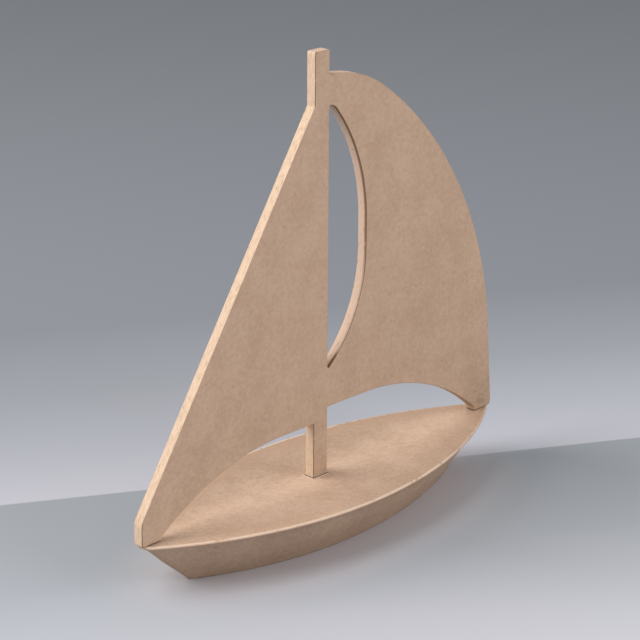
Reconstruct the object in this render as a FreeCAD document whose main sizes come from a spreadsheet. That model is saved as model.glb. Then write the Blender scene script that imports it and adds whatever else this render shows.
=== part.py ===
import FreeCAD, Part
import math
import os
import Sketcher

# A toy sailboat blank: a closed paper hull with a flat deck, and one flat board that is cut
# as mast, foresail and mainsail in one outline and stands on edge in a slot in the deck.
# The bow points to -X and the stern to +X, the floor is Z = 0, and the board lies on Y = 0.
# All sizes are millimetres.

driving = {
    "overall": 249.8,        # fore edge of the foresail to the mainsail's aft corner
    "height": 240.0,         # floor to mast top
    "mast_from_stem": 118.3, # fore edge of the foresail to the middle of the mast
    "mast_wide": 9.7,
    "board_thick": 5.5,
    "arris_round": 0.9,      # worn front edge of the board
    # hull
    "deck_height": 26.4,
    "deck_beam": 85.0,
    "bow_inset": 1.4,        # bow tip of the deck behind the foresail's fore edge
    "stern_inset": 1.1,      # stern tip of the deck ahead of the mainsail's aft corner
    "deck_card": 1.2,        # thickness of the card that closes the hull
    "deck_lip": 0.5,         # how far that card stands past the sides
    "card_round": 0.45,      # rounded upper edge of the card
    "bow_round": 6.5,
    "stern_round": 3.0,
    "bottom_beam": 50.0,
    "bottom_round": 2.5,
    "bow_rake": 29.0,        # run of the sloping stem
    "stern_rake": 31.0,
    # foresail
    "kink_drop": 26.0,       # mast top down to where the foresail leaves the mast
    "stem_rise": 12.1,       # deck up to where its sloping edge turns upright
    "stem_round": 8.0,
    "tack_foot": 12.6,       # length of the flat foot at the bow
    "tack_gap": 0.4,         # that foot just clears the deck
    "fore_clew_rise": 28.5,  # deck up to where the sail's lower edge meets the mast
    "fore_foot_run": 21.4,   # level stretch of that edge beside the mast
    # mainsail
    "head_drop": 12.1,       # mast top down to the sail's head
    "head_round": 69.0,
    "head_run": 39.3,        # run of the rounder head, aft from the mast
    "leech_straight": 46.0,  # straight lower end of the aft edge, below its long arc
    "main_tack_rise": 34.8,  # deck up to where the sail's lower edge meets the mast
    "main_foot_run": 27.0,   # level stretch of that edge beside the mast
    "clew_foot": 13.8,       # length of the flat foot at the stern
    "clew_round": 2.5,
    "foot_step": 2.2,        # height of the flat feet below both sails' lower edges
    # slot between mast and mainsail
    "slot_wide": 26.55,
    "slot_above": 14.9,      # sail left between the slot and the head
    "slot_below": 19.95,     # sail left between the slot and the lower edge
    "slot_belly": 55.8,      # lower end of the slot up to its widest place
    "slot_straight": 14.55,  # upright stretch there
    "slot_cap": 6.6,         # radius of its blunt upper end
    # the mast's end in the deck
    "tenon_deep": 14.0,
    "tenon_play": 0.15,
    "tenon_gap": 0.6,        # left under the mast's end
}

document = FreeCAD.newDocument("Sailboat")
sheet = document.addObject("Spreadsheet::Sheet", "Sizes")
for row, (alias, number) in enumerate(driving.items(), start=1):
    sheet.set("A%d" % row, alias)
    sheet.set("B%d" % row, str(number))
    sheet.setAlias("B%d" % row, alias)
document.recompute()


class Size:
    """A length as a number, with the sheet formula that gives it."""

    def __init__(self, value, formula):
        self.value = value
        self.formula = formula

    def combine(self, other, sign):
        if not isinstance(other, Size):
            other = Size(float(other), repr(float(other)))
        number = {"+": self.value + other.value, "-": self.value - other.value}[sign]
        return Size(number, "(%s %s %s)" % (self.formula, sign, other.formula))

    def __add__(self, other):
        return self.combine(other, "+")

    def __sub__(self, other):
        return self.combine(other, "-")

    def __neg__(self):
        return Size(-self.value, "(-1 * %s)" % self.formula)

    def half(self):
        return Size(self.value / 2, "(%s / 2)" % self.formula)

    def twice(self):
        return Size(self.value * 2, "(2 * %s)" % self.formula)


size = {alias: Size(float(sheet.get(alias)), "Sizes." + alias) for alias in driving}

# Places along X that both pieces share.
stem_edge = -size["overall"].half()
clew_edge = size["overall"].half()
mast_centre = stem_edge + size["mast_from_stem"]
mast_fore = mast_centre - size["mast_wide"].half()
mast_aft = mast_centre + size["mast_wide"].half()
bow_tip = stem_edge + size["bow_inset"]
stern_tip = clew_edge - size["stern_inset"]

# Heights that the sails and the slot between them share.
deck = size["deck_height"]
head_height = size["height"] - size["head_drop"]
main_tack = deck + size["main_tack_rise"]


def bind(target, name, length):
    """Set one property of a feature from the sheet."""
    setattr(target, name, length.value)
    target.setExpression(name, length.formula)


def hold(sketch, kind, *place, length):
    """Add one dimension to a sketch and tie it to the sheet."""
    index = sketch.addConstraint(Sketcher.Constraint(kind, *place, length.value))
    sketch.setExpression("Constraints[%d]" % index, length.formula)


def hold_point(sketch, edge, end, across, along):
    hold(sketch, "DistanceX", -1, 1, edge, end, length=across)
    hold(sketch, "DistanceY", -1, 1, edge, end, length=along)


def new_sketch(body, label, plane, raise_by=None):
    """A sketch on one of the body's own origin planes, raised along its normal if asked."""
    sketch = body.newObject("Sketcher::SketchObject", label)
    support = [item for item in body.Origin.OriginFeatures if item.Role == plane][0]
    sketch.AttachmentSupport = (support, [""])
    sketch.MapMode = "FlatFace"
    if raise_by is not None:
        sketch.AttachmentOffset = FreeCAD.Placement(FreeCAD.Vector(0, 0, raise_by.value), FreeCAD.Rotation())
        sketch.setExpression("AttachmentOffset.Base.z", raise_by.formula)
    return sketch


def vector(pair):
    return FreeCAD.Vector(pair[0], pair[1], 0)


def arc(centre, radius, start, end):
    """Counter-clockwise arc between two points that lie on the circle."""
    angles = [math.atan2(point[1] - centre[1], point[0] - centre[0]) for point in (start, end)]
    circle = Part.Circle(vector(centre), FreeCAD.Vector(0, 0, 1), radius)
    return Part.ArcOfCircle(circle, angles[0], angles[1])


def level_arc(level, end):
    """Centre and radius of an arc that is level at one point and falls to another."""
    across = end[0] - level[0]
    drop = level[1] - end[1]
    radius = (across ** 2 + drop ** 2) / (2 * drop)
    return (level[0], level[1] - radius), radius


def leech_arc(start, outward, corner, straight):
    """Arc that leaves a point square to a direction, and ends in a straight run to the corner."""
    across = (corner[0] - start[0], corner[1] - start[1])
    beyond = across[0] * outward[0] + across[1] * outward[1]
    radius = (math.hypot(*across) ** 2 - straight ** 2) / (-2 * beyond)
    centre = (start[0] - radius * outward[0], start[1] - radius * outward[1])
    reach = (corner[0] - centre[0], corner[1] - centre[1])
    turn = math.atan2(reach[1], reach[0]) + math.atan2(straight, radius)
    return centre, radius, (centre[0] + radius * math.cos(turn), centre[1] + radius * math.sin(turn))


def leaf(body, label, fore, aft, half_beam, fore_round, aft_round, raise_by=None):
    """Pointed oval: two long arcs a side that meet at the mast, and a small round at each tip."""
    sketch = new_sketch(body, label, "XY_Plane", raise_by)
    widest = mast_centre.value
    beam = half_beam.value
    rounds = {"fore": fore_round.value, "aft": aft_round.value}
    tip_centre = {"fore": fore.value + rounds["fore"], "aft": aft.value - rounds["aft"]}
    joints = {}
    centres = {}
    radii = {}
    for end in ("fore", "aft"):
        reach = tip_centre[end] - widest
        radius = (reach ** 2 + beam ** 2 - rounds[end] ** 2) / (2 * (beam - rounds[end]))
        scale = radius / (radius - rounds[end])
        centres[end] = beam - radius
        radii[end] = radius
        joints[end] = (widest + reach * scale, centres[end] - centres[end] * scale)
    port = {end: joints[end] for end in joints}
    starboard = {end: (joints[end][0], -joints[end][1]) for end in joints}

    aft_port = sketch.addGeometry(
        arc((widest, centres["aft"]), radii["aft"], port["aft"], (widest, beam)))
    fore_port = sketch.addGeometry(
        arc((widest, centres["fore"]), radii["fore"], (widest, beam), port["fore"]))
    bow = sketch.addGeometry(
        arc((tip_centre["fore"], 0), rounds["fore"], port["fore"], starboard["fore"]))
    fore_starboard = sketch.addGeometry(
        arc((widest, -centres["fore"]), radii["fore"], starboard["fore"], (widest, -beam)))
    aft_starboard = sketch.addGeometry(
        arc((widest, -centres["aft"]), radii["aft"], (widest, -beam), starboard["aft"]))
    stern = sketch.addGeometry(
        arc((tip_centre["aft"], 0), rounds["aft"], starboard["aft"], port["aft"]))

    ring = [aft_port, fore_port, bow, fore_starboard, aft_starboard, stern]
    for first, second in zip(ring, ring[1:] + ring[:1]):
        sketch.addConstraint(Sketcher.Constraint("Tangent", first, 2, second, 1))
    hold_point(sketch, aft_port, 2, mast_centre, half_beam)
    hold_point(sketch, fore_starboard, 2, mast_centre, -half_beam)
    for side in (fore_port, fore_starboard):
        hold(sketch, "DistanceX", -1, 1, side, 3, length=mast_centre)
    for tip, place, tip_round in ((bow, fore + fore_round, fore_round), (stern, aft - aft_round, aft_round)):
        sketch.addConstraint(Sketcher.Constraint("PointOnObject", tip, 3, -1))
        hold(sketch, "DistanceX", -1, 1, tip, 3, length=place)
        hold(sketch, "Radius", tip, length=tip_round)
    return sketch


def edges_along_y(feature, places):
    """Names of the edges that run through the board at the given places (X, Z)."""
    names = []
    for number, edge in enumerate(feature.Shape.Edges, start=1):
        ends = [vertex.Point for vertex in edge.Vertexes]
        for across, height in places:
            near = [abs(end.x - across) < 0.01 and abs(end.z - height) < 0.01 for end in ends]
            if len(ends) == 2 and all(near):
                names.append("Edge%d" % number)
    return names


def face_names(feature, direction, reach):
    """Names of the flat faces that look along a direction and lie that far out."""
    names = []
    for number, face in enumerate(feature.Shape.Faces, start=1):
        flat = isinstance(face.Surface, Part.Plane)
        if flat and face.normalAt(0, 0).isEqual(direction, 1e-6):
            if abs(face.CenterOfMass.dot(direction) - reach) < 0.01:
                names.append("Face%d" % number)
    return names


def rim_edges(feature, height, skipped):
    """Names of the edges in the board's front face, apart from one that has its middle at a place."""
    names = []
    for number, edge in enumerate(feature.Shape.Edges, start=1):
        middle = edge.CenterOfMass
        ends = [vertex.Point.y for vertex in edge.Vertexes]
        inside = all(abs(along - height) < 0.01 for along in ends + [middle.y])
        if inside and math.hypot(middle.x - skipped[0], middle.z - skipped[1]) > 0.01:
            names.append("Edge%d" % number)
    return names


def rounded(body, label, base, edges, radius):
    fillet = body.newObject("PartDesign::Fillet", label)
    fillet.Base = (base, edges)
    bind(fillet, "Radius", radius)
    document.recompute()
    return fillet


def build_hull():
    body = document.addObject("PartDesign::Body", "hull")
    body.Label = "hull"
    lip = size["deck_lip"]
    under_card = deck - size["deck_card"]
    bottom = leaf(body, "bottom_outline", bow_tip + size["bow_rake"], stern_tip - size["stern_rake"],
                  size["bottom_beam"].half(), size["bottom_round"], size["bottom_round"])
    top = leaf(body, "side_top_outline", bow_tip + lip, stern_tip - lip,
               size["deck_beam"].half() - lip, size["bow_round"] - lip, size["stern_round"] - lip, under_card)
    sides = body.newObject("PartDesign::AdditiveLoft", "sides")
    sides.Profile = bottom
    sides.Sections = [top]
    sides.Ruled = True

    outline = leaf(body, "deck_outline", bow_tip, stern_tip, size["deck_beam"].half(),
                   size["bow_round"], size["stern_round"], under_card)
    card = body.newObject("PartDesign::Pad", "deck_card")
    card.Profile = outline
    bind(card, "Length", size["deck_card"])
    document.recompute()
    up = FreeCAD.Vector(0, 0, 1)
    rounded(body, "card_edge", card, face_names(card, up, deck.value), size["card_round"])

    mouth = new_sketch(body, "mast_slot_outline", "XY_Plane", deck)
    half_long = size["mast_wide"].half() + size["tenon_play"]
    half_wide = size["board_thick"].half() + size["tenon_play"]
    corners = [(mast_centre - half_long, -half_wide), (mast_centre + half_long, -half_wide),
               (mast_centre + half_long, half_wide), (mast_centre - half_long, half_wide)]
    for first, second in zip(corners, corners[1:] + corners[:1]):
        start, end = [(corner[0].value, corner[1].value) for corner in (first, second)]
        mouth.addGeometry(Part.LineSegment(vector(start), vector(end)))
    for number, kind in enumerate(("Horizontal", "Vertical", "Horizontal", "Vertical")):
        mouth.addConstraint(Sketcher.Constraint("Coincident", number, 2, (number + 1) % 4, 1))
        mouth.addConstraint(Sketcher.Constraint(kind, number))
    for number in (0, 2):
        hold_point(mouth, number, 1, *corners[number])
    slot = body.newObject("PartDesign::Pocket", "mast_slot")
    slot.Profile = mouth
    bind(slot, "Length", size["tenon_deep"] + size["tenon_gap"])
    document.recompute()
    body.Tip = slot
    return body


def board_outline(body):
    """Mast, foresail and mainsail in one closed outline, from the mast top round by the stern."""
    sketch = new_sketch(body, "board_outline", "XZ_Plane")
    tack = deck + size["tack_gap"]
    heel = clew_edge - size["clew_foot"]
    toe = stem_edge + size["tack_foot"]
    mast_end = deck - size["tenon_deep"]
    fore_clew = deck + size["fore_clew_rise"]
    corner = {
        "truck_aft": (mast_aft, size["height"]),
        "head": (mast_aft, head_height),
        "clew": (clew_edge, deck),
        "heel_low": (heel, deck),
        "heel_high": (heel, deck + size["foot_step"]),
        "main_flat": (mast_aft + size["main_foot_run"], main_tack),
        "main_tack": (mast_aft, main_tack),
        "mast_end_aft": (mast_aft, mast_end),
        "mast_end_fore": (mast_fore, mast_end),
        "fore_clew": (mast_fore, fore_clew),
        "fore_flat": (mast_fore - size["fore_foot_run"], fore_clew),
        "toe_high": (toe, deck + size["foot_step"]),
        "toe_low": (toe, tack),
        "stem_low": (stem_edge, tack),
        "stem_high": (stem_edge, deck + size["stem_rise"]),
        "kink": (mast_fore, size["height"] - size["kink_drop"]),
        "truck_fore": (mast_fore, size["height"]),
    }
    at = {name: (place[0].value, place[1].value) for name, place in corner.items()}

    head_radius = size["head_round"].value
    head_centre = (at["head"][0], at["head"][1] - head_radius)
    lean = math.asin(size["head_run"].value / head_radius)
    outward = (math.sin(lean), math.cos(lean))
    shoulder = (head_centre[0] + head_radius * outward[0], head_centre[1] + head_radius * outward[1])
    leech_centre, leech_radius, leech_end = leech_arc(
        shoulder, outward, at["clew"], size["leech_straight"].value)

    path = ["truck_aft", "head", None, "clew", "heel_low", "heel_high", None, "main_flat", "main_tack",
            "mast_end_aft", "mast_end_fore", "fore_clew", "fore_flat", None, "toe_high", "toe_low",
            "stem_low", "stem_high", "kink", "truck_fore"]
    lines = {}
    for first, second in zip(path, path[1:] + path[:1]):
        if first is not None and second is not None:
            lines[first] = sketch.addGeometry(Part.LineSegment(vector(at[first]), vector(at[second])))
    head = sketch.addGeometry(arc(head_centre, head_radius, shoulder, at["head"]))
    leech = sketch.addGeometry(arc(leech_centre, leech_radius, leech_end, shoulder))
    lower_leech = sketch.addGeometry(Part.LineSegment(vector(leech_end), vector(at["clew"])))
    main_foot = sketch.addGeometry(
        arc(*level_arc(at["main_flat"], at["heel_high"]), at["heel_high"], at["main_flat"]))
    fore_foot = sketch.addGeometry(
        arc(*level_arc(at["fore_flat"], at["toe_high"]), at["fore_flat"], at["toe_high"]))

    for first, second in zip(path, path[1:] + path[:1]):
        if first in lines and second in lines:
            sketch.addConstraint(Sketcher.Constraint("Coincident", lines[first], 2, lines[second], 1))
    sketch.addConstraint(Sketcher.Constraint("Coincident", lines["truck_aft"], 2, head, 2))
    sketch.addConstraint(Sketcher.Constraint("Tangent", head, 1, leech, 2))
    sketch.addConstraint(Sketcher.Constraint("Tangent", leech, 1, lower_leech, 1))
    sketch.addConstraint(Sketcher.Constraint("Coincident", lower_leech, 2, lines["clew"], 1))
    sketch.addConstraint(Sketcher.Constraint("Coincident", lines["heel_low"], 2, main_foot, 1))
    sketch.addConstraint(Sketcher.Constraint("Tangent", main_foot, 2, lines["main_flat"], 1))
    sketch.addConstraint(Sketcher.Constraint("Tangent", lines["fore_clew"], 2, fore_foot, 1))
    sketch.addConstraint(Sketcher.Constraint("Coincident", fore_foot, 2, lines["toe_high"], 1))
    for name in lines:
        hold_point(sketch, lines[name], 1, *corner[name])
    for name in ("head", "heel_high", "fore_flat"):
        before = path[path.index(name) - 1]
        hold_point(sketch, lines[before], 2, *corner[name])
    hold(sketch, "DistanceX", -1, 1, head, 3, length=mast_aft)
    hold(sketch, "DistanceX", -1, 1, head, 1, length=mast_aft + size["head_run"])
    hold(sketch, "Distance", lower_leech, length=size["leech_straight"])
    hold(sketch, "Radius", head, length=size["head_round"])
    return sketch, at


def slot_outline(body):
    """Slot beside the mast: straight along the mast, a long belly aft, and a blunt upper end."""
    sketch = new_sketch(body, "sail_slot_outline", "XZ_Plane")
    slot_end = main_tack + size["slot_below"]
    slot_head = head_height - size["slot_above"]
    low = slot_end + size["slot_belly"]
    high = low + size["slot_straight"]
    widest = mast_aft + size["slot_wide"]
    wide = size["slot_wide"].value
    cap_radius = size["slot_cap"].value
    top = (mast_aft.value, slot_head.value)
    bottom = (mast_aft.value, slot_end.value)
    belly_low = (widest.value, low.value)
    belly_high = (widest.value, high.value)
    lower_radius = (wide ** 2 + size["slot_belly"].value ** 2) / (2 * wide)
    cap_centre = (top[0], top[1] - cap_radius)
    rise = cap_centre[1] - belly_high[1]
    upper_radius = (wide ** 2 + rise ** 2 - cap_radius ** 2) / (2 * (wide - cap_radius))
    upper_centre = (belly_high[0] - upper_radius, belly_high[1])
    scale = upper_radius / (upper_radius - cap_radius)
    joint = [start + (end - start) * scale for start, end in zip(upper_centre, cap_centre)]

    straight = sketch.addGeometry(Part.LineSegment(vector(top), vector(bottom)))
    lower_arc = sketch.addGeometry(
        arc((belly_low[0] - lower_radius, belly_low[1]), lower_radius, bottom, belly_low))
    belly = sketch.addGeometry(Part.LineSegment(vector(belly_low), vector(belly_high)))
    upper_arc = sketch.addGeometry(arc(upper_centre, upper_radius, belly_high, joint))
    cap = sketch.addGeometry(arc(cap_centre, cap_radius, joint, top))
    sketch.addConstraint(Sketcher.Constraint("Coincident", straight, 2, lower_arc, 1))
    sketch.addConstraint(Sketcher.Constraint("Tangent", lower_arc, 2, belly, 1))
    sketch.addConstraint(Sketcher.Constraint("Tangent", belly, 2, upper_arc, 1))
    sketch.addConstraint(Sketcher.Constraint("Tangent", upper_arc, 2, cap, 1))
    sketch.addConstraint(Sketcher.Constraint("Coincident", cap, 2, straight, 1))
    sketch.addConstraint(Sketcher.Constraint("PointOnObject", cap, 3, straight))
    for line, start, end in ((straight, (mast_aft, slot_head), slot_end), (belly, (widest, low), high)):
        sketch.addConstraint(Sketcher.Constraint("Vertical", line))
        hold_point(sketch, line, 1, *start)
        hold(sketch, "DistanceY", -1, 1, line, 2, length=end)
    hold(sketch, "Radius", cap, length=size["slot_cap"])
    return sketch


def build_board():
    body = document.addObject("PartDesign::Body", "sail_board")
    body.Label = "sail_board"
    outline, at = board_outline(body)
    board = body.newObject("PartDesign::Pad", "board")
    board.Profile = outline
    board.SideType = "Symmetric"
    bind(board, "Length", size["board_thick"])
    slot = body.newObject("PartDesign::Pocket", "sail_slot")
    slot.Profile = slot_outline(body)
    slot.SideType = "Symmetric"
    bind(slot, "Length", size["board_thick"].twice())
    document.recompute()

    step = slot
    for label, place, radius in (("stem_corner", at["stem_high"], "stem_round"),
                                 ("clew_corner", at["clew"], "clew_round")):
        step = rounded(body, label, step, edges_along_y(step, [place]), size[radius])
    beside_truck = (at["head"][0], (at["head"][1] + at["truck_aft"][1]) / 2)
    front = rim_edges(step, -size["board_thick"].value / 2, beside_truck)
    step = rounded(body, "front_edge", step, front, size["arris_round"])
    body.Tip = step
    return body


hull = build_hull()
sail_board = build_board()
document.recompute()

for item in document.Objects:
    faults = [state for state in item.State if state in ("Invalid", "Error")]
    if faults:
        raise RuntimeError("%s did not compute: %s" % (item.Label, faults))

parts = [hull, sail_board]
for part in parts:
    if part.Shape.isNull() or not part.Shape.isValid():
        raise RuntimeError("%s has no valid shape" % part.Label)

os.makedirs("parts", exist_ok=True)
for part in parts:
    part.Placement = FreeCAD.Placement()
    part.Shape.exportStep("parts/%s.step" % part.Label)
    box = part.Shape.optimalBoundingBox(True, False)
    print("%s: %.1f cm3, X %.2f to %.2f, Y %.2f to %.2f, Z %.2f to %.2f" % (
        part.Label, part.Shape.Volume / 1000, box.XMin, box.XMax, box.YMin, box.YMax, box.ZMin, box.ZMax))
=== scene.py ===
import math

import bmesh
import bpy
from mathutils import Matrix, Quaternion, Vector, noise


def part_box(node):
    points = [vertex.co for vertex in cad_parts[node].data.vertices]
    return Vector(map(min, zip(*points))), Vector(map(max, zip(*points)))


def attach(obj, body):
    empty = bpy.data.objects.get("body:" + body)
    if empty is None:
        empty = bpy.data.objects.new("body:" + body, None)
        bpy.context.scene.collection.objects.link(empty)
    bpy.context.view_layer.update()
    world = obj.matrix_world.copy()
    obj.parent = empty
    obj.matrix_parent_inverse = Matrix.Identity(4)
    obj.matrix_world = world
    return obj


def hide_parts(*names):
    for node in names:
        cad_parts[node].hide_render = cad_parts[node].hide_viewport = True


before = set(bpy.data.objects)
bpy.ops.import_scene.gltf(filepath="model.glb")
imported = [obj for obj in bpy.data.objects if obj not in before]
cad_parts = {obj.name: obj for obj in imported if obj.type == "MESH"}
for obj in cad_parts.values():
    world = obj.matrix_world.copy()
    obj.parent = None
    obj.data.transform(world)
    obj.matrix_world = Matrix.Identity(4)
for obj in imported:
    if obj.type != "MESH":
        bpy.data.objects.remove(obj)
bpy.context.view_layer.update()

mm = 0.001
scene = bpy.context.scene
hullLow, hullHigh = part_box("hull")
boardLow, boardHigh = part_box("sail_board")
deckTop = hullHigh.z
print("frame loaded:", sorted(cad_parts))


# Drawing lines and faces

def lineTo(bm, point, target):
    # a line from a point of an outline to a new one
    made = bmesh.ops.extrude_vert_indiv(bm, verts=[point])
    made["verts"][0].co = target
    return made["verts"][0]


def swingTo(bm, point, centre, axis, angle, steps):
    # an arc from a point of an outline, swung about a centre
    made = bmesh.ops.spin(bm, geom=[point], cent=centre, axis=axis, angle=angle, steps=steps)
    return made["geom_last"][0]


def divideLines(bm, lines, spacing):
    # long lines get a point about every spacing
    for line in lines:
        cuts = int(line.calc_length() / spacing)
        if cuts > 0:
            bmesh.ops.subdivide_edges(bm, edges=[line], cuts=cuts)


def sliceFaces(bm, faces, direction, places):
    # cuts faces by parallel planes, the middle one first, then each half by its own
    if not faces or not places:
        return
    middle = places[len(places) // 2]
    parts = {part for face in faces for part in (*face.edges, *face.verts)}
    made = bmesh.ops.bisect_plane(bm, geom=faces + list(parts), dist=1e-7,
                                  plane_co=direction * middle, plane_no=direction)["geom"]
    sides = {True: [], False: []}
    for part in made:
        if isinstance(part, bmesh.types.BMFace):
            sides[part.calc_center_median().dot(direction) < middle].append(part)
    sliceFaces(bm, sides[True], direction, places[:len(places) // 2])
    sliceFaces(bm, sides[False], direction, places[len(places) // 2 + 1:])


def gridFaces(bm, zone, pitch, across, along):
    # cuts a filled zone into small squares, and drops the diagonals of its fill;
    # across and along are each a direction with its lowest and highest place
    for direction, low, high in (across, along):
        places = [low + pitch * (number + 0.5) for number in range(int((high - low) / pitch))]
        sliceFaces(bm, [face for face in bm.faces if face.material_index == zone], direction, places)
    flat = []
    for edge in bm.edges:
        inside = [face.material_index == zone for face in edge.link_faces]
        run = (edge.verts[0].co - edge.verts[1].co).normalized()
        square = max(abs(run.dot(across[0])), abs(run.dot(along[0]))) > 0.99999
        if len(inside) == 2 and all(inside) and not square:
            flat.append(edge)
    bmesh.ops.dissolve_edges(bm, edges=flat, use_verts=False, use_face_split=False)
    # the points where a diagonal crossed a line of the grid
    spare = [vert for vert in bm.verts if len(vert.link_edges) == 2 and len(vert.link_faces) == 2
             and vert.calc_edge_angle(1.0) < 0.001]
    bmesh.ops.dissolve_verts(bm, verts=spare, use_face_split=False, use_boundary_tear=False)


def finishMesh(bm, name, sharpAngle, attributes):
    # smooth shading with sharp corners, and the painted values of each point
    mesh = bpy.data.meshes.new(name)
    for face in bm.faces:
        face.material_index = 0
        face.smooth = True
    bmesh.ops.recalc_face_normals(bm, faces=bm.faces)
    bm.to_mesh(mesh)
    bm.free()
    mesh.set_sharp_from_angle(angle=math.radians(sharpAngle))
    for label, values in attributes.items():
        mesh.attributes.new(label, "FLOAT", "POINT").data.foreach_set("value", values)
    piece = bpy.data.objects.new(name, mesh)
    scene.collection.objects.link(piece)
    return piece


def waves(place, size, octaves=2):
    # soft noise from -1 to 1 whose swells are about that size
    total, share = 0.0, 1.0
    apart = Vector((7.3, 1.9, 4.1))   # so that the octaves don't line up
    for octave in range(octaves):
        total += share * noise.noise(place / size + apart * octave)
        size, share = size / 2.1, share / 2
    return total / (2 - 2 * share)


def ramp(value, low, high):
    # smooth step from 0 at low to 1 at high
    share = min(1.0, max(0.0, (value - low) / (high - low)))
    return share * share * (3 - 2 * share)


# The sail board: mast, foresail and mainsail cut from one flat board

board = {
    "mastFromStem": 118.3 * mm,   # the mast's middle
    "mastWide": 9.7 * mm,
    "clewFromStem": 249.8 * mm,
    "kinkDrop": 26.0 * mm,        # from the mast's top to the foresail's
    "stemRise": 12.1 * mm,
    "stemRound": 8.0 * mm,
    "tackFoot": 12.6 * mm,        # the foresail's flat foot at the bow
    "tackGap": 0.4 * mm,
    "foreClewRise": 28.5 * mm,
    "foreFootRun": 21.4 * mm,     # the level part of its lower edge
    "headDrop": 12.1 * mm,
    "headRound": 69.0 * mm,
    "headRun": 39.3 * mm,         # how far aft the head's arc goes
    "leechStraight": 46.0 * mm,
    "mainTackRise": 34.8 * mm,
    "mainFootRun": 27.0 * mm,
    "clewFoot": 13.8 * mm,        # the mainsail's flat foot at the stern
    "clewRound": 2.5 * mm,
    "footStep": 2.2 * mm,
    "slotWide": 26.55 * mm,
    "slotAbove": 14.9 * mm,       # board above the slot
    "slotBelow": 19.95 * mm,
    "slotBelly": 55.8 * mm,       # from the slot's lower end up to its widest part
    "slotStraight": 14.55 * mm,
    "slotCap": 6.6 * mm,          # radius of its blunt upper end
    "cornerAngle": 150,           # corners sharper than this many degrees are worn round
    "cornerRound": 0.7 * mm,
    "truckRound": 0.9 * mm,       # worn corners of the mast top
    "spacing": 1.0 * mm,          # between the points of the outline
    "rimStrip": 0.6 * mm,         # faces along the outline, which hold the rounded arris
    "grid": 2.0 * mm,
    "frontArris": 0.45 * mm,
    "backArris": 0.2 * mm,
    "layers": 5,                  # rows of faces across the cut edge
    "swell": 0.08 * mm,           # unevenness of the pressed faces
    "swellSize": 24 * mm,
    "fuzz": 0.09 * mm,            # raggedness of the cut edges
    "fuzzSize": 2.4 * mm,
    "faintArris": 0.5,            # how dark the painted arris line is elsewhere
    "darkArrisWide": 1.6 * mm,         # width of the painted dark arris about an outline's line
    "sharpAngle": 50,             # degrees past which an edge is shaded sharp
}
upright = Vector((0, -1, 0))


def levelCentre(level, end):
    # centre below an arc that is level at one point and falls to another
    across, drop = end.x - level.x, level.z - end.z
    return level - Vector((0, 0, (across ** 2 + drop ** 2) / (2 * drop)))


def angleBetween(centre, start, end):
    first, last = start - centre, end - centre
    return math.atan2(first.cross(last).dot(upright), first.dot(last))


def arcTo(bm, point, centre, end):
    # arc of the outline about a centre, as far as the direction of its end
    angle = angleBetween(centre, point.co, end)
    steps = max(2, round(abs(angle) * (end - centre).length / board["spacing"]))
    return swingTo(bm, point, centre, upright, angle, steps)


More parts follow.
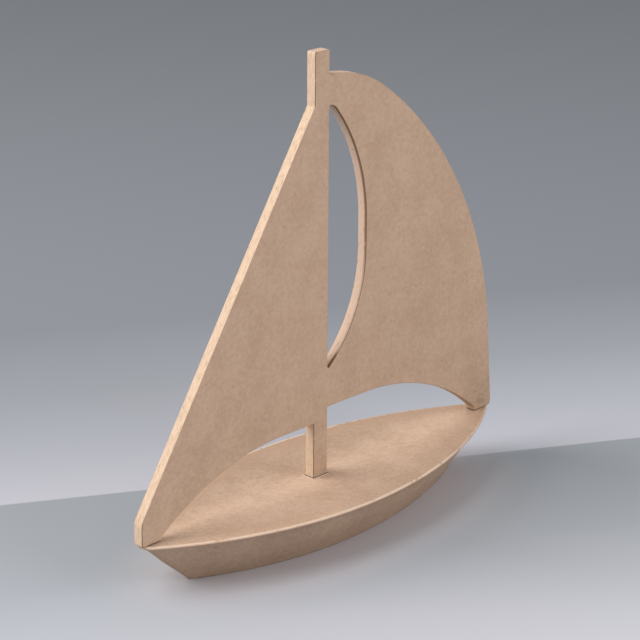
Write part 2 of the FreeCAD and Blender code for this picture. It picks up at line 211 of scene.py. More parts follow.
def drawBoardOutline(bm):
    face = boardLow.y
    stemX = boardLow.x
    clewX = stemX + board["clewFromStem"]
    mastFore = stemX + board["mastFromStem"] - board["mastWide"] / 2
    mastAft = mastFore + board["mastWide"]
    top, heel = boardHigh.z, boardLow.z
    tackZ = deckTop + board["tackGap"]
    footZ = deckTop + board["footStep"]

    def at(x, z):
        return Vector((x, face, z))

    headZ = top - board["headDrop"]
    lean = math.asin(board["headRun"] / board["headRound"])
    outward = Vector((math.sin(lean), 0, math.cos(lean)))
    headCentre = at(mastAft, headZ - board["headRound"])
    shoulder = headCentre + outward * board["headRound"]
    clew = at(clewX, deckTop)
    reach = clew - shoulder
    leechRound = (reach.length_squared - board["leechStraight"] ** 2) / (-2 * reach.dot(outward))
    leechCentre = shoulder - outward * leechRound
    fromCentre = clew - leechCentre
    turn = math.atan2(fromCentre.z, fromCentre.x) + math.atan2(board["leechStraight"], leechRound)
    leechEnd = leechCentre + Vector((math.cos(turn), 0, math.sin(turn))) * leechRound
    mainTack = at(mastAft, deckTop + board["mainTackRise"])
    mainFlat = at(mastAft + board["mainFootRun"], mainTack.z)
    clewInner = at(clewX - board["clewFoot"], footZ)
    foreClew = at(mastFore, deckTop + board["foreClewRise"])
    foreFlat = at(mastFore - board["foreFootRun"], foreClew.z)
    tackInner = at(stemX + board["tackFoot"], footZ)

    start = bmesh.ops.create_vert(bm, co=at(mastFore, top))["vert"][0]
    point = lineTo(bm, start, at(mastAft, top))
    point = lineTo(bm, point, at(mastAft, headZ))
    point = arcTo(bm, point, headCentre, shoulder)
    point = arcTo(bm, point, leechCentre, leechEnd)
    point = clewCorner = lineTo(bm, point, clew)
    point = lineTo(bm, point, at(clewInner.x, deckTop))
    point = lineTo(bm, point, clewInner)
    point = arcTo(bm, point, levelCentre(mainFlat, clewInner), mainFlat)
    point = lineTo(bm, point, mainTack)
    point = lineTo(bm, point, at(mastAft, heel))
    point = lineTo(bm, point, at(mastFore, heel))
    point = lineTo(bm, point, foreClew)
    point = lineTo(bm, point, foreFlat)
    point = arcTo(bm, point, levelCentre(foreFlat, tackInner), tackInner)
    point = lineTo(bm, point, at(tackInner.x, tackZ))
    point = lineTo(bm, point, at(stemX, tackZ))
    point = stemCorner = lineTo(bm, point, at(stemX, deckTop + board["stemRise"]))
    point = kink = lineTo(bm, point, at(mastFore, top - board["kinkDrop"]))
    point = lineTo(bm, point, start.co.copy())

    slotTop = at(mastAft, headZ - board["slotAbove"])
    slotEnd = at(mastAft, mainTack.z + board["slotBelow"])
    bellyLow = at(mastAft + board["slotWide"], slotEnd.z + board["slotBelly"])
    bellyHigh = at(bellyLow.x, bellyLow.z + board["slotStraight"])
    wide, cap = board["slotWide"], board["slotCap"]
    lowerRound = (wide ** 2 + board["slotBelly"] ** 2) / (2 * wide)
    capCentre = at(mastAft, slotTop.z - cap)
    rise = capCentre.z - bellyHigh.z
    upperRound = (wide ** 2 + rise ** 2 - cap ** 2) / (2 * (wide - cap))
    upperCentre = at(bellyHigh.x - upperRound, bellyHigh.z)
    joint = upperCentre.lerp(capCentre, upperRound / (upperRound - cap))
    point = bmesh.ops.create_vert(bm, co=slotTop)["vert"][0]
    point = lineTo(bm, point, slotEnd)
    point = arcTo(bm, point, at(bellyLow.x - lowerRound, bellyLow.z), bellyLow)
    point = lineTo(bm, point, bellyHigh)
    point = arcTo(bm, point, upperCentre, joint)
    arcTo(bm, point, capCentre, slotTop)
    bmesh.ops.remove_doubles(bm, verts=bm.verts, dist=1e-6)
    return {"stem": stemCorner.co.copy(), "clew": clewCorner.co.copy(), "kink": kink.co.copy(),
            "foreClew": foreClew, "slotTop": slotTop, "slotEnd": slotEnd, "belly": bellyLow}


def roundCorner(bm, place, radius, pieces):
    # rounds the corner of the outline that is nearest to a place
    corner = min(bm.verts, key=lambda vert: (vert.co - place).length)
    first, last = [edge.other_vert(corner).co - corner.co for edge in corner.link_edges]
    setBack = radius / math.tan(first.angle(last) / 2)
    bmesh.ops.bevel(bm, geom=[corner], affect="VERTICES", offset_type="OFFSET", offset=setBack,
                    segments=pieces, profile=0.5, material=-1)


def darkArrisShare(point, marks):
    # the arris is painted dark up the mast above the foresail, at the mast's foot and at the stem: partly
    # painted shade of its rounded edge, partly a darker colour
    byMast = abs(point.x - marks["kink"].x) < board["darkArrisWide"]
    byStem = abs(point.x - marks["stem"].x) < board["darkArrisWide"]
    onMast = byMast and (point.z > marks["kink"].z or point.z < marks["foreClew"].z)
    return 1.0 if onMast or (byStem and point.z < marks["stem"].z) else board["faintArris"]


def buildBoard():
    bm = bmesh.new()
    marks = drawBoardOutline(bm)
    sharp = []
    for vert in bm.verts:
        first, last = [edge.other_vert(vert).co - vert.co for edge in vert.link_edges]
        far = min((vert.co - marks[name]).length for name in ("stem", "clew", "kink"))
        if first.angle(last) < math.radians(board["cornerAngle"]) and far > 1e-5:
            sharp.append(vert.co.copy())
    for place in sharp:
        onTruck = place.z > boardHigh.z - mm
        roundCorner(bm, place, board["truckRound" if onTruck else "cornerRound"], 3)
    roundCorner(bm, marks["stem"], board["stemRound"], 6)
    roundCorner(bm, marks["clew"], board["clewRound"], 5)
    divideLines(bm, list(bm.edges), board["spacing"])
    bmesh.ops.triangle_fill(bm, use_beauty=True, use_dissolve=False, edges=bm.edges)
    bmesh.ops.inset_region(bm, faces=bm.faces, thickness=board["rimStrip"], depth=0,
                           use_boundary=True, use_even_offset=True)
    rim = {face for face in bm.faces if any(len(edge.link_faces) == 1 for edge in face.edges)}
    for face in bm.faces:
        face.material_index = 0 if face in rim else 1
    gridFaces(bm, 1, board["grid"], (Vector((1, 0, 0)), boardLow.x, boardHigh.x),
              (Vector((0, 0, 1)), boardLow.z, boardHigh.z))

    front = list(bm.faces)
    made = bmesh.ops.extrude_face_region(bm, geom=front, use_keep_orig=True)["geom"]
    backPoints = [part for part in made if isinstance(part, bmesh.types.BMVert)]
    thick = boardHigh.y - boardLow.y
    bmesh.ops.translate(bm, verts=backPoints, vec=(0, thick, 0))
    bmesh.ops.recalc_face_normals(bm, faces=bm.faces)
    walls = [edge for edge in bm.edges if abs((edge.verts[0].co - edge.verts[1].co).y) > thick / 2]
    bmesh.ops.subdivide_edges(bm, edges=walls, cuts=board["layers"] - 1, use_grid_fill=True)
    for side, size, pieces in ((boardLow.y, board["frontArris"], 3), (boardHigh.y, board["backArris"], 2)):
        lines = []
        for edge in bm.edges:
            flat = all(abs(vert.co.y - side) < 1e-7 for vert in edge.verts)
            facing = sorted(abs(face.normal.y) for face in edge.link_faces)
            if flat and len(facing) == 2 and facing[0] < 0.5 < facing[1]:
                lines.append(edge)
        bmesh.ops.bevel(bm, geom=lines, affect="EDGES", offset_type="OFFSET", offset=size,
                        segments=pieces, profile=0.5, material=-1, clamp_overlap=False)

    bm.normal_update()
    cut, lean, arris, slotWall, moves = [], [], [], [], []
    for vert in bm.verts:
        facing = abs(vert.normal.y)
        cut.append(1 - ramp(facing, 0.15, 0.75))
        lean.append(vert.normal.z)
        onArris = ramp(-vert.normal.y, 0.05, 0.4) * (1 - ramp(-vert.normal.y, 0.93, 0.999))
        arris.append(onArris * darkArrisShare(vert.co, marks))
        inSlot = marks["slotEnd"].z - mm < vert.co.z < marks["slotTop"].z + mm
        aftOfMast = marks["slotTop"].x + 0.3 * mm < vert.co.x < marks["belly"].x + mm
        slotWall.append(float(inSlot and aftOfMast and -vert.normal.y < 0.99))
        swell = board["swell"] * (0.5 + 0.5 * waves(vert.co, board["swellSize"], 3))
        grain = Vector((vert.co.x, vert.co.y * 2.2, vert.co.z))   # finer across the layers
        fuzz = board["fuzz"] * (0.5 + 0.5 * waves(grain, board["fuzzSize"]))
        moves.append(-vert.normal * (swell * facing + fuzz * (1 - facing)))
    for vert, move in zip(bm.verts, moves):
        vert.co += move
    values = {"cutEdge": cut, "lean": lean, "arris": arris, "slotWall": slotWall}
    piece = finishMesh(bm, "sailBoard", board["sharpAngle"], values)
    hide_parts("sail_board")
    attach(piece, "root")
    print("sail board:", len(piece.data.polygons), "faces")
    return piece


# The hull: ruled paper sides, a flat deck with a raised paper rim, and the slot for the mast

hull = {
    "mastFromBow": 116.9 * mm,
    "bowRound": 6.5 * mm,
    "sternRound": 3.0 * mm,
    "bottomBeam": 50.0 * mm,
    "bottomRound": 2.5 * mm,
    "bowRake": 29.0 * mm,
    "sternRake": 31.0 * mm,
    "card": 1.2 * mm,         # thickness of the deck
    "bottomEdge": 0.7 * mm,
    "sideSteps": 130,         # points of each long arc of the plan
    "tipSteps": 12,
    "rows": 18,               # rows of faces up the side
    "grid": 2.0 * mm,
    "slotGap": 0.5 * mm,      # round the mast, in the deck
    "slotDeep": 4.0 * mm,
    "swell": 0.22 * mm,       # unevenness of the paper
    "swellSize": 26 * mm,
    "rimWander": 0.14 * mm,   # raggedness of the rim
    "wanderSize": 5 * mm,
    "lipFrom": (0.55 * mm, 0.95 * mm),   # where the pale rim begins, over the card's underside
    "crestFrom": (0.1 * mm, 0.26 * mm),  # and on top, over the deck
    "rimFade": (35 * mm, 75 * mm),   # it weakens between these, towards the stern
    "rimFaded": 0.65,
    "dish": 0.55 * mm,        # how far the deck sinks inside its rim
    "dishRun": 15.0 * mm,
    "rimShadeFrom": 6.0 * mm,     # the painted shade band inside the rim fades from here
    "rimShadePort": 0.4,          # and is this strong on the port side
    "flare": 0.5 * mm,        # hollow of the sides just under the deck
    "flareFrom": (0.3 * mm, 3 * mm),   # depths at which it begins and ends
    "flareTo": (4 * mm, 12 * mm),
    "sharpAngle": 55,
}
# inset from the deck's outline and height above its underside, from the side's top to the deck
rimProfile = [(0.5, 0.0), (0.04, 0.02), (0.0, 0.22), (0.02, 0.75), (0.16, 1.18), (0.42, 1.42),
              (0.8, 1.5), (1.2, 1.4), (1.6, 1.27), (2.1, 1.2)]


def leafLoop(bm, plan, height, inset):
    # pointed oval, drawn by swinging one point round six centres
    widest, beam = plan["widest"], plan["halfBeam"] - inset
    ends = {}
    for end, tip, tipRound, sign in (("aft", plan["aft"], plan["aftRound"], 1),
                                     ("fore", plan["fore"], plan["foreRound"], -1)):
        small = tipRound - inset
        reach = abs(tip - sign * tipRound - widest)
        large = (reach ** 2 + beam ** 2 - small ** 2) / (2 * (beam - small))
        swing = math.atan2(reach, large - beam)
        ends[end] = (large - beam, swing, Vector((tip - sign * tipRound, 0, height)))
    up = Vector((0, 0, 1))
    start = bmesh.ops.create_vert(bm, co=(widest, beam, height))["vert"][0]
    point = start
    before = set(bm.edges)
    for end, side in (("aft", -1), ("tip", "aft"), ("aft", 1), ("fore", 1), ("tip", "fore"), ("fore", -1)):
        if end == "tip":
            swing = math.pi - 2 * ends[side][1]
            point = swingTo(bm, point, ends[side][2], up, -swing, hull["tipSteps"])
        else:
            centre = Vector((widest, side * ends[end][0], height))
            point = swingTo(bm, point, centre, up, -ends[end][1], hull["sideSteps"])
    bmesh.ops.weld_verts(bm, targetmap={point: start})
    return [edge for edge in bm.edges if edge not in before]


def insideRim(plan, point):
    # how far inside the deck's outline a point of the deck lies
    fore = point.x < plan["widest"]
    tip, tipRound = (plan["fore"], plan["foreRound"]) if fore else (plan["aft"], plan["aftRound"])
    reach = abs(tip - plan["widest"]) - tipRound
    large = (reach ** 2 + plan["halfBeam"] ** 2 - tipRound ** 2) / (2 * (plan["halfBeam"] - tipRound))
    return large - math.hypot(point.x - plan["widest"], abs(point.y) + large - plan["halfBeam"])


def buildHull():
    bm = bmesh.new()
    deckPlan = {"widest": hullLow.x + hull["mastFromBow"], "halfBeam": hullHigh.y, "fore": hullLow.x,
                "aft": hullHigh.x, "foreRound": hull["bowRound"], "aftRound": hull["sternRound"]}
    floorPlan = {"widest": deckPlan["widest"], "halfBeam": hull["bottomBeam"] / 2,
                 "fore": hullLow.x + hull["bowRake"], "aft": hullHigh.x - hull["sternRake"],
                 "foreRound": hull["bottomRound"], "aftRound": hull["bottomRound"]}
    bottomLoop = leafLoop(bm, floorPlan, 0, 0)
    under = deckTop - hull["card"]
    loops = [leafLoop(bm, deckPlan, under + rise * mm, inset * mm) for inset, rise in rimProfile]
    sides = bmesh.ops.bridge_loops(bm, edges=bottomLoop + loops[0])["edges"]
    bmesh.ops.subdivide_edges(bm, edges=sides, cuts=hull["rows"] - 1, use_grid_fill=True)
    for outer, inner in zip(loops, loops[1:]):
        bmesh.ops.bridge_loops(bm, edges=outer + inner)

    mastX = deckPlan["widest"]
    halfLong = board["mastWide"] / 2 + hull["slotGap"]
    halfWide = boardHigh.y + hull["slotGap"]
    corner = bmesh.ops.create_vert(bm, co=(mastX - halfLong, -halfWide, deckTop))["vert"][0]
    before = set(bm.edges)
    point = lineTo(bm, corner, Vector((mastX + halfLong, -halfWide, deckTop)))
    point = lineTo(bm, point, Vector((mastX + halfLong, halfWide, deckTop)))
    point = lineTo(bm, point, Vector((mastX - halfLong, halfWide, deckTop)))
    point = lineTo(bm, point, corner.co.copy())
    bmesh.ops.weld_verts(bm, targetmap={point: corner})
    mouth = [edge for edge in bm.edges if edge not in before]
    made = bmesh.ops.triangle_fill(bm, use_beauty=True, use_dissolve=False, edges=loops[-1] + mouth)
    for face in made["geom"]:
        if isinstance(face, bmesh.types.BMFace):
            face.material_index = 1
    made = bmesh.ops.triangle_fill(bm, use_beauty=True, use_dissolve=False, edges=bottomLoop)
    for face in made["geom"]:
        if isinstance(face, bmesh.types.BMFace):
            face.material_index = 2
    across = (Vector((1, 0, 0)), hullLow.x, hullHigh.x)
    along = (Vector((0, 1, 0)), hullLow.y, hullHigh.y)
    gridFaces(bm, 1, hull["grid"], across, along)
    gridFaces(bm, 2, hull["grid"] * 2, across, along)
    brim = [edge for edge in bm.edges if len(edge.link_faces) == 1]
    made = bmesh.ops.extrude_edge_only(bm, edges=brim)["geom"]
    low = [part for part in made if isinstance(part, bmesh.types.BMVert)]
    bmesh.ops.translate(bm, verts=low, vec=(0, 0, -hull["slotDeep"]))
    floorEdges = [part for part in made if isinstance(part, bmesh.types.BMEdge)
                  and len(part.link_faces) == 1]
    bmesh.ops.contextual_create(bm, geom=floorEdges)
    bmesh.ops.recalc_face_normals(bm, faces=bm.faces)
    chine = [edge for edge in bm.edges if all(vert.co.z < 1e-7 for vert in edge.verts)
             and any(abs(face.normal.z) < 0.99 for face in edge.link_faces)]
    bmesh.ops.bevel(bm, geom=chine, affect="EDGES", offset_type="OFFSET", offset=hull["bottomEdge"],
                    segments=2, profile=0.5, material=-1, clamp_overlap=True)

    bm.normal_update()
    rim, side, brow, moves = [], [], [], []
    for vert in bm.verts:
        height = vert.co.z - under
        inset = insideRim(deckPlan, vert.co)
        outward = 1 - ramp(abs(vert.normal.z), 0.75, 0.98)
        onLip = ramp(height, *hull["lipFrom"]) * outward
        crest = ramp(height - hull["card"], *hull["crestFrom"])
        sternward = 1 - hull["rimFaded"] * ramp(vert.co.x, *hull["rimFade"])
        rim.append(max(onLip, crest) * sternward)
        side.append(ramp(-height, -0.3 * mm, 0.4 * mm))
        onDeck = vert.normal.z > 0.8 and height > 0.5 * mm
        # painted shade inside the rim, full on the far side
        farShare = hull["rimShadePort"] + (1 - hull["rimShadePort"]) * ramp(vert.co.y, 0, 8 * mm)
        brow.append(farShare * (1 - ramp(inset, hull["rimShadeFrom"], hull["dishRun"])) if onDeck else 0.0)
        swell = hull["swell"] * (0.5 + 0.5 * waves(vert.co, hull["swellSize"], 3))
        wander = hull["rimWander"] * waves(vert.co, hull["wanderSize"])
        hollow = hull["flare"] * ramp(-height, *hull["flareFrom"]) * (1 - ramp(-height, *hull["flareTo"]))
        sunk = hull["dish"] * ramp(inset, 1.5 * mm, hull["dishRun"]) if onDeck else 0.0
        moves.append(-vert.normal * (swell + hollow + (wander + 0.5 * hull["rimWander"]) * rim[-1] + sunk))
    for vert, move in zip(bm.verts, moves):
        vert.co += move
        vert.co.z = max(vert.co.z, 0)
    piece = finishMesh(bm, "paperHull", hull["sharpAngle"], {"rim": rim, "side": side, "brow": brow})
    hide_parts("hull")
    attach(piece, "root")
    print("paper hull:", len(piece.data.polygons), "faces")
    return piece


# Shader maths

class Wire:
    # one output of a node; sums and products of wires add their own Math nodes
    def __init__(self, tree, socket=None):
        self.tree = tree
        self.socket = socket

    def node(self, kind, settings, values, output=0):
        made = self.tree.nodes.new(kind)
        for name, value in settings.items():
            if name == "stops":
                while len(made.color_ramp.elements) < len(value):
                    made.color_ramp.elements.new(0.5)
                for element, (position, colour) in zip(made.color_ramp.elements, value):
                    element.position = position
                    element.color = (*colour, 1)
            else:
                setattr(made, name, value)
        for name, value in values.items():
            if isinstance(value, Wire):
                self.tree.links.new(value.socket, made.inputs[name])
            else:
                made.inputs[name].default_value = value
        return Wire(self.tree, made.outputs[output])

    def maths(self, operation, *values, clamped=False):
        settings = {"operation": operation, "use_clamp": clamped}
        return self.node("ShaderNodeMath", settings, dict(enumerate(values)))

    def __add__(self, other):
        return self.maths("ADD", self, other)

    def __sub__(self, other):
        return self.maths("SUBTRACT", self, other)

    def __rsub__(self, other):
        return self.maths("SUBTRACT", other, self)

    def __mul__(self, other):
        return self.maths("MULTIPLY", self, other)

    def __truediv__(self, other):
        return self.maths("DIVIDE", self, other)

    def __abs__(self):
        return self.maths("ABSOLUTE", self)

    __radd__ = __add__
    __rmul__ = __mul__

    def between(self, low, high):
        # smooth step from 0 at low to 1 at high, whichever of the two is larger
        settings = {"interpolation_type": "SMOOTHSTEP"}
        if low < high:
            return self.node("ShaderNodeMapRange", settings, {0: self, 1: low, 2: high, 3: 0.0, 4: 1.0})
        return self.node("ShaderNodeMapRange", settings, {0: self, 1: high, 2: low, 3: 1.0, 4: 0.0})

    def blend(self, first, second, how="MIX"):
        # mixes two colours by this value
        colours = [(*colour, 1) if isinstance(colour, tuple) else colour for colour in (first, second)]
        settings = {"data_type": "RGBA", "blend_type": how}
        return self.node("ShaderNodeMix", settings, {0: self, 6: colours[0], 7: colours[1]}, 2)

    def cloud(self, size, detail=2.0, roughness=0.5, distortion=0.0):
        # noise about 0.5 on this place, with swells of that size in metres
        values = {"Vector": self, "Scale": 1 / size, "Detail": detail, "Roughness": roughness,
                  "Distortion": distortion}
        return self.node("ShaderNodeTexNoise", {}, values)

    def stretched(self, scale, shift=(0, 0, 0)):
        return self.node("ShaderNodeMapping", {}, {"Vector": self, "Location": shift, "Scale": scale})


def linear(red, green, blue):
    # a screen colour from 0 to 255 as the shader needs it
    return tuple(((c / 255 + 0.055) / 1.055) ** 2.4 if c > 10.3 else c / 3294.6 for c in (red, green, blue))


def newMaterial(name):
    material = bpy.data.materials.new(name)
    material.use_nodes = True
    tree = material.node_tree
    tree.nodes.clear()
    out = tree.nodes.new("ShaderNodeOutputMaterial")
    return material, tree, out


def place(tree):
    return Wire(tree).node("ShaderNodeTexCoord", {}, {}, 3)


def painted(tree, label):
    return Wire(tree).node("ShaderNodeAttribute", {"attribute_name": label}, {}, 2)


def pulpFibres(here, size, width, shown):
    # short curly hairs: contour lines of a noise, shown only here and there
    lines = abs(here.cloud(size, 1.0, 0.5, 0.6) - 0.5).between(width, 0.0)
    elsewhere = here.stretched((1, 1, 1), (0.31, 0.17, 0.07))
    return lines * elsewhere.cloud(size * 1.3, 1.0).between(shown, shown + 0.1)


pulp = {
    "dark": (182, 151, 126),
    "light": (198, 168, 143),
    "fleck": (132, 102, 78),
    "hair": (214, 186, 160),
    "cloudSize": 20 * mm,
    "grainSize": 1.9 * mm,
    "hairSize": 2.2 * mm,
    "hairShare": 0.38,
    "darkHairSize": 2.8 * mm,
    "darkHairShare": 0.3,
    "speckSize": 1.5 * mm,
    "speckShare": 0.5,
    "roughness": 0.82,
    "specular": 0.3,
    "relief": 0.13 * mm,      # depth of the fibres in the bump
}


def pulpColour(here, tint, dark, light):
    # soft clouds between two colours, with pale and dark hairs and a few specks
    broad = here.cloud(pulp["cloudSize"], 3.0, 0.55)
    fine = here.cloud(pulp["grainSize"], 3.0, 0.65)
    tone = (broad * 0.45 + fine * 0.55).between(0.30, 0.70)
    colour = tone.blend(dark, light)
    hairs = pulpFibres(here, pulp["hairSize"], 0.035, 0.54)
    colour = (hairs * pulp["hairShare"]).blend(colour, linear(*tint["hair"]))
    elsewhere = here.stretched((1, 1, 1), (0.5, 0.2, 0.9))
    darkHairs = pulpFibres(elsewhere, pulp["darkHairSize"], 0.03, 0.58)
    colour = (darkHairs * pulp["darkHairShare"]).blend(colour, linear(*tint["fleck"]))
    specks = here.cloud(pulp["speckSize"], 0.0).between(0.80, 0.86)
    colour = (specks * pulp["speckShare"]).blend(colour, linear(*tint["fleck"]))
    return colour, hairs, fine


def axis(here, number):
    return here.node("ShaderNodeSeparateXYZ", {}, {0: here}, number)


def surface(tree, out, colour, height, tint):
    bump = Wire(tree).node("ShaderNodeBump", {}, {"Height": height, "Strength": 1.0,
                                                  "Distance": tint["relief"]})
    values = {"Base Color": colour, "Roughness": tint["roughness"], "Specular IOR Level": tint["specular"],
              "Normal": bump}
    shader = Wire(tree).node("ShaderNodeBsdfPrincipled", {}, values)
    tree.links.new(shader.socket, out.inputs["Surface"])


cutBoard = {
    "light": (218, 190, 163),
    "dark": (203, 173, 146),
    "low": (220, 192, 163),       # the mast's foot
    "top": (192, 164, 145),       # painted shade: edges that look up, painted duller
    "under": (178, 163, 144),     # painted shade: edges that look down, painted darker
    "slot": (211, 181, 160),
    "dash": (156, 120, 88),
    "arris": (122, 92, 66),
    "wedge": (168, 143, 116),     # the sail's aft corner at the deck
    "wedgeCrease": (138, 116, 86),
    "gapShade": (104, 78, 56),        # painted shade in the gaps where the board meets the deck
    "layerSize": 1.4 * mm,        # streaks of the pressed layers in the cut edge
    "dashSize": 1.2 * mm,
    "creaseSize": 4 * mm,
    # places of these colours along the board and up it, each from its start to its full strength
    "wedgeAlong": (98 * mm, 114 * mm),
    "wedgeUp": (50 * mm, 34 * mm),
    "lowReach": (30 * mm, 20 * mm),
    "lowUp": (72 * mm, 52 * mm),
    "bandHigh": (110 * mm, 150 * mm),   # the dark line in the slot, above and below: painted shade at its narrow top, the dark saw kerf at its lower end
    "bandLow": (89 * mm, 84 * mm),
    "feetAlong": (94 * mm, 98 * mm),
}


def boardMaterial():
    material, tree, out = newMaterial("pressedBoard")
    here = place(tree)
    along, across, height = [axis(here, number) for number in range(3)]
    mastMiddle = boardLow.x + board["mastFromStem"]
    face, hairs, fine = pulpColour(here, pulp, linear(*pulp["dark"]), linear(*pulp["light"]))
    atWedge = along.between(*cutBoard["wedgeAlong"]) * height.between(*cutBoard["wedgeUp"])
    creases = here.stretched((0.6, 1, 1.8)).cloud(cutBoard["creaseSize"], 2.0, 0.5, 0.8).between(0.56, 0.68)
    face = (atWedge * 0.35).blend(face, linear(*cutBoard["wedge"]))
    face = (atWedge * creases * 0.4).blend(face, linear(*cutBoard["wedgeCrease"]))

    onCut, lean, inSlot = [painted(tree, label) for label in ("cutEdge", "lean", "slotWall")]
    layers = here.stretched((0.4, 2.2, 0.4)).cloud(cutBoard["layerSize"], 3.0, 0.6)
    edge = layers.between(0.36, 0.56).blend(linear(*cutBoard["dark"]), linear(*cutBoard["light"]))
    low = abs(along - mastMiddle).between(*cutBoard["lowReach"]) * height.between(*cutBoard["lowUp"])
    edge = (low * 0.85).blend(edge, linear(*cutBoard["low"]))
    edge = (inSlot * 0.8).blend(edge, linear(*cutBoard["slot"]))
    # cut edges that look up or down get painted shade by which way they face
    edge = (lean.between(0.55, 0.9) * 0.85).blend(edge, linear(*cutBoard["top"]))
    edge = (lean.between(-0.3, -0.7) * 0.85).blend(edge, linear(*cutBoard["under"]))
    edge = (atWedge * 0.85).blend(edge, linear(*cutBoard["wedge"]))
    streaked = here.stretched((0.45, 2.0, 0.45), (0.7, 0.1, 0.4))
    dashes = streaked.cloud(cutBoard["dashSize"], 1.0).between(0.66, 0.72)
    edge = (dashes * 0.75).blend(edge, linear(*cutBoard["dash"]))
    colour = onCut.blend(face, edge)

    # painted dark arris line, partly painted shade on the rounded front arris and partly its darker colour
    darkArris = painted(tree, "arris") * here.cloud(3 * mm, 2.0).between(0.22, 0.42)
    # dark band along the slot's front arris: painted shade, stronger at the narrow top, and the dark saw
    # kerf at its lower end
    slotEnds = height.between(*cutBoard["bandHigh"]) * 0.45 + height.between(*cutBoard["bandLow"])
    band = inSlot * across.between(-0.8 * mm, -1.8 * mm) * (slotEnds + 0.3)
    dark = (darkArris * 0.85 + band * here.cloud(5 * mm, 2.0).between(0.15, 0.4)).between(0.0, 1.0)
    colour = dark.blend(colour, linear(*cutBoard["arris"]))
    # painted shade: a dark line at the mast's foot in the deck slot and under the sails' feet, which stand
    # a little above the deck
    mastGapShade = height.between(deckTop + 0.05 * mm, deckTop - 0.1 * mm)
    atFeet = abs(along).between(*cutBoard["feetAlong"])
    feetGapShade = atFeet * height.between(deckTop + 0.8 * mm, deckTop + 0.4 * mm)
    colour = (mastGapShade * 0.75 + feetGapShade * 0.55).blend(colour, linear(*cutBoard["gapShade"]))
    bump = fine * 0.6 + hairs * 0.35 + layers * onCut * 0.6
    surface(tree, out, colour, bump, pulp)
    return material


hullPaper = {
    "dark": (166, 139, 117),
    "light": (185, 158, 135),
    "nearLitDark": (196, 163, 138),  # painted light: the deck on the port side of the board, painted lighter against the board's cast shadow
    "nearLitLight": (217, 186, 161),
    "farShadedDark": (163, 135, 113),   # painted shade: the deck on its starboard side, painted darker
    "farShadedLight": (182, 155, 133),
    "brow": (178, 148, 124),      # painted shade: a duller band inside the rim, strongest on the far side
    "olive": (168, 146, 112),
    "fleck": (126, 96, 72),
    "hair": (216, 188, 164),
    "rim": (230, 205, 182),
    "under": (134, 104, 80),      # painted shadow: the dark line under the paper rim's overhang
    "roughness": 0.8,
    "specular": 0.3,
    "relief": 0.13 * mm,
    "shadeAcross": (-12 * mm, 24 * mm),   # across the deck, where the painted light of the near side turns into the painted shade of the far side
}


def hullMaterial():
    material, tree, out = newMaterial("hullPaper")
    here = place(tree)
    onSide, onRim, atRimShade = [painted(tree, label) for label in ("side", "rim", "brow")]
    # painted light and shade: the deck lighter on the near side and darker on the far side
    farShadeShare = axis(here, 1).between(*hullPaper["shadeAcross"])
    dark = farShadeShare.blend(linear(*hullPaper["nearLitDark"]), linear(*hullPaper["farShadedDark"]))
    dark = onSide.blend(dark, linear(*hullPaper["dark"]))
    light = farShadeShare.blend(linear(*hullPaper["nearLitLight"]), linear(*hullPaper["farShadedLight"]))
    light = onSide.blend(light, linear(*hullPaper["light"]))
    colour, hairs, fine = pulpColour(here, hullPaper, dark, light)
    # painted shade along the inside of the rim
    colour = (atRimShade * 0.5).blend(colour, linear(*hullPaper["brow"]))
    patches = here.stretched((1, 1, 1), (0.2, 0.6, 0.3)).cloud(11 * mm, 2.0).between(0.56, 0.70)
    colour = (patches * onSide * 0.28).blend(colour, linear(*hullPaper["olive"]))
    height = axis(here, 2) - (deckTop - hull["card"])
    # painted shadow line just under the overhanging paper rim
    under = height.between(-0.5 * mm, -0.1 * mm) * height.between(0.45 * mm, 0.2 * mm)
    colour = (under * 0.6).blend(colour, linear(*hullPaper["under"]))
    bare = here.cloud(3.2 * mm, 2.0).between(0.34, 0.46)
    colour = (onRim * bare * 0.85).blend(colour, linear(*hullPaper["rim"]))
    surface(tree, out, colour, fine * 0.6 + hairs * 0.35, hullPaper)
    return material


sailBoard = buildBoard()
sailBoard.data.materials.append(boardMaterial())
paperHull = buildHull()
paperHull.data.materials.append(hullMaterial())


# Stage: one pale floor, a sheet under the boat that ends behind it and greyer ground beyond, with painted
# shade graded from the sheet's edge and a painted paler patch that lifts the boat's shadow

stage = {
    "size": 6.0,
    "drop": 0.2 * mm,                # below the boat's bottom
    "edgeFrom": (-0.1035, 0.1286),   # two points of the sheet's far edge
    "edgeTo": (0.1958, -0.0505),
    "edgeBlur": 0.6 * mm,
    # colours of the sheet and of the ground at distances from that edge, in metres: painted shade, the
    # sheet darker near the edge and the ground darker away from it
    "sheetShadeStops": [(0.0, (152, 157, 162)), (0.10, (160, 164, 170)), (0.22, (190, 190, 197)),
                   (1.0, (196, 196, 202))],
    "groundShadeStops": [(0.0, (186, 186, 194)), (0.06, (170, 172, 180)), (0.14, (150, 153, 159)),
                    (0.25, (134, 137, 143)), (0.48, (133, 136, 142)), (1.0, (130, 133, 138))],
    "shadowLift": (196, 189, 192),       # painted light: the sheet close to the boat, painted paler to lift the boat's cast shadow
    "shadowLiftReach": (0.145, 0.07),
    "shadowLiftShare": 0.75,
    "roughness": 0.9,
    "specular": 0.1,
}


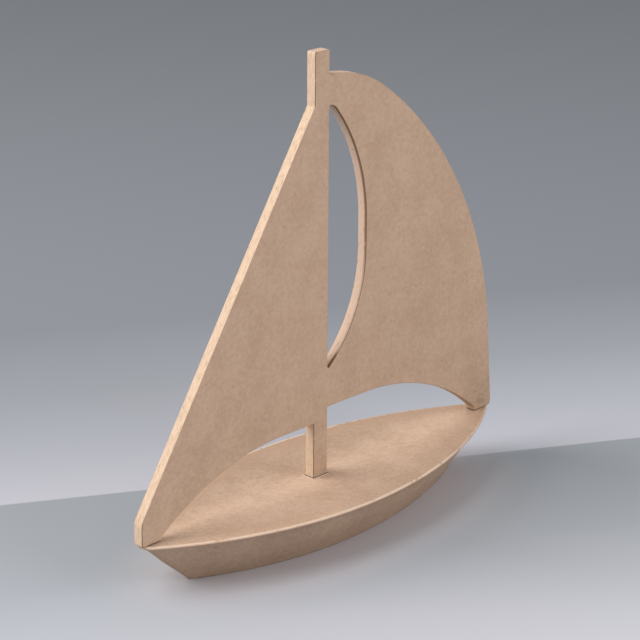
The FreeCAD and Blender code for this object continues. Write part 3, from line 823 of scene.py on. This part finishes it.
def stageMaterial():
    material, tree, out = newMaterial("stagePaper")
    start, end = Vector(stage["edgeFrom"]), Vector(stage["edgeTo"])
    run = (end - start).normalized()
    square = (-run.y, run.x, 0)
    here = place(tree)
    far = here.node("ShaderNodeVectorMath", {"operation": "DOT_PRODUCT"}, {0: here, 1: square}, 1)
    beyond = far - (start.x * square[0] + start.y * square[1])
    tones = {}
    # painted shade of the floor, graded by distance from the sheet's edge
    for name, way in (("sheetShadeStops", -1.0), ("groundShadeStops", 1.0)):
        stops = [(position, linear(*colour)) for position, colour in stage[name]]
        tones[name] = here.node("ShaderNodeValToRGB", {"stops": stops}, {0: beyond * way})
    past = beyond.between(-stage["edgeBlur"], stage["edgeBlur"])
    colour = past.blend(tones["sheetShadeStops"], tones["groundShadeStops"])
    # painted light: a paler oval round the boat that lifts its shadow on the sheet
    reach = stage["shadowLiftReach"]
    oval = here.stretched((1 / reach[0], 1 / reach[1], 0))
    liftMask = oval.node("ShaderNodeVectorMath", {"operation": "LENGTH"}, {0: oval}, 1).between(1.0, 0.5)
    colour = (liftMask * stage["shadowLiftShare"]).blend(colour, linear(*stage["shadowLift"]))
    values = {"Base Color": colour, "Roughness": stage["roughness"],
              "Specular IOR Level": stage["specular"]}
    shader = here.node("ShaderNodeBsdfPrincipled", {}, values)
    tree.links.new(shader.socket, out.inputs["Surface"])
    return material


def buildStage():
    bm = bmesh.new()
    bmesh.ops.create_grid(bm, x_segments=1, y_segments=1, size=stage["size"])
    bmesh.ops.translate(bm, verts=bm.verts, vec=(0, 0, -stage["drop"]))
    mesh = bpy.data.meshes.new("ground")
    bm.to_mesh(mesh)
    bm.free()
    ground = bpy.data.objects.new("ground", mesh)
    scene.collection.objects.link(ground)
    ground.data.materials.append(stageMaterial())


buildStage()
print("stage laid")


# Light and camera

lamps = {
    "key": {"place": (-1.05, 0.6, 1.35), "size": 1.7, "power": 33.5, "colour": (1.0, 0.985, 0.965)},
    "fill": {"place": (0.6, -1.6, 0.9), "size": 1.6, "power": 16.0, "colour": (1.0, 1.0, 1.0)},
}
worldLight = {"colour": (0.95, 0.96, 0.985), "strength": 0.49}
view = {
    "aim": (-0.0046, 0.0, 0.1065),
    "azimuth": -46.494,
    "elevation": 19.804,
    "roll": 0.327,
    "distance": 1.10608,
    "lens": 128.752,
    "sensor": 36.0,
}


def addLamps():
    for name, lamp in lamps.items():
        data = bpy.data.lights.new(name, "AREA")
        data.shape = "DISK"
        data.size = lamp["size"]
        data.energy = lamp["power"]
        data.color = lamp["colour"]
        item = bpy.data.objects.new(name, data)
        item.location = lamp["place"]
        item.rotation_euler = (Vector(view["aim"]) - item.location).to_track_quat("-Z", "Y").to_euler()
        scene.collection.objects.link(item)
    world = bpy.data.worlds.new("studio")
    world.use_nodes = True
    background = world.node_tree.nodes["Background"]
    background.inputs["Color"].default_value = (*worldLight["colour"], 1)
    background.inputs["Strength"].default_value = worldLight["strength"]
    scene.world = world


def addCamera():
    turn, lift = math.radians(view["azimuth"]), math.radians(view["elevation"])
    back = Vector((math.sin(turn) * math.cos(lift), -math.cos(turn) * math.cos(lift), math.sin(lift)))
    data = bpy.data.cameras.new("photoView")
    data.lens = view["lens"]
    data.sensor_width = view["sensor"]
    data.clip_start, data.clip_end = 0.01, 50
    camera = bpy.data.objects.new("photoView", data)
    camera.location = Vector(view["aim"]) + back * view["distance"]
    camera.rotation_mode = "QUATERNION"
    roll = Quaternion((0, 0, 1), math.radians(view["roll"]))
    camera.rotation_quaternion = (-back).to_track_quat("-Z", "Y") @ roll
    scene.collection.objects.link(camera)
    scene.camera = camera


addLamps()
addCamera()
scene.view_settings.view_transform = "Standard"
print("lit and framed")
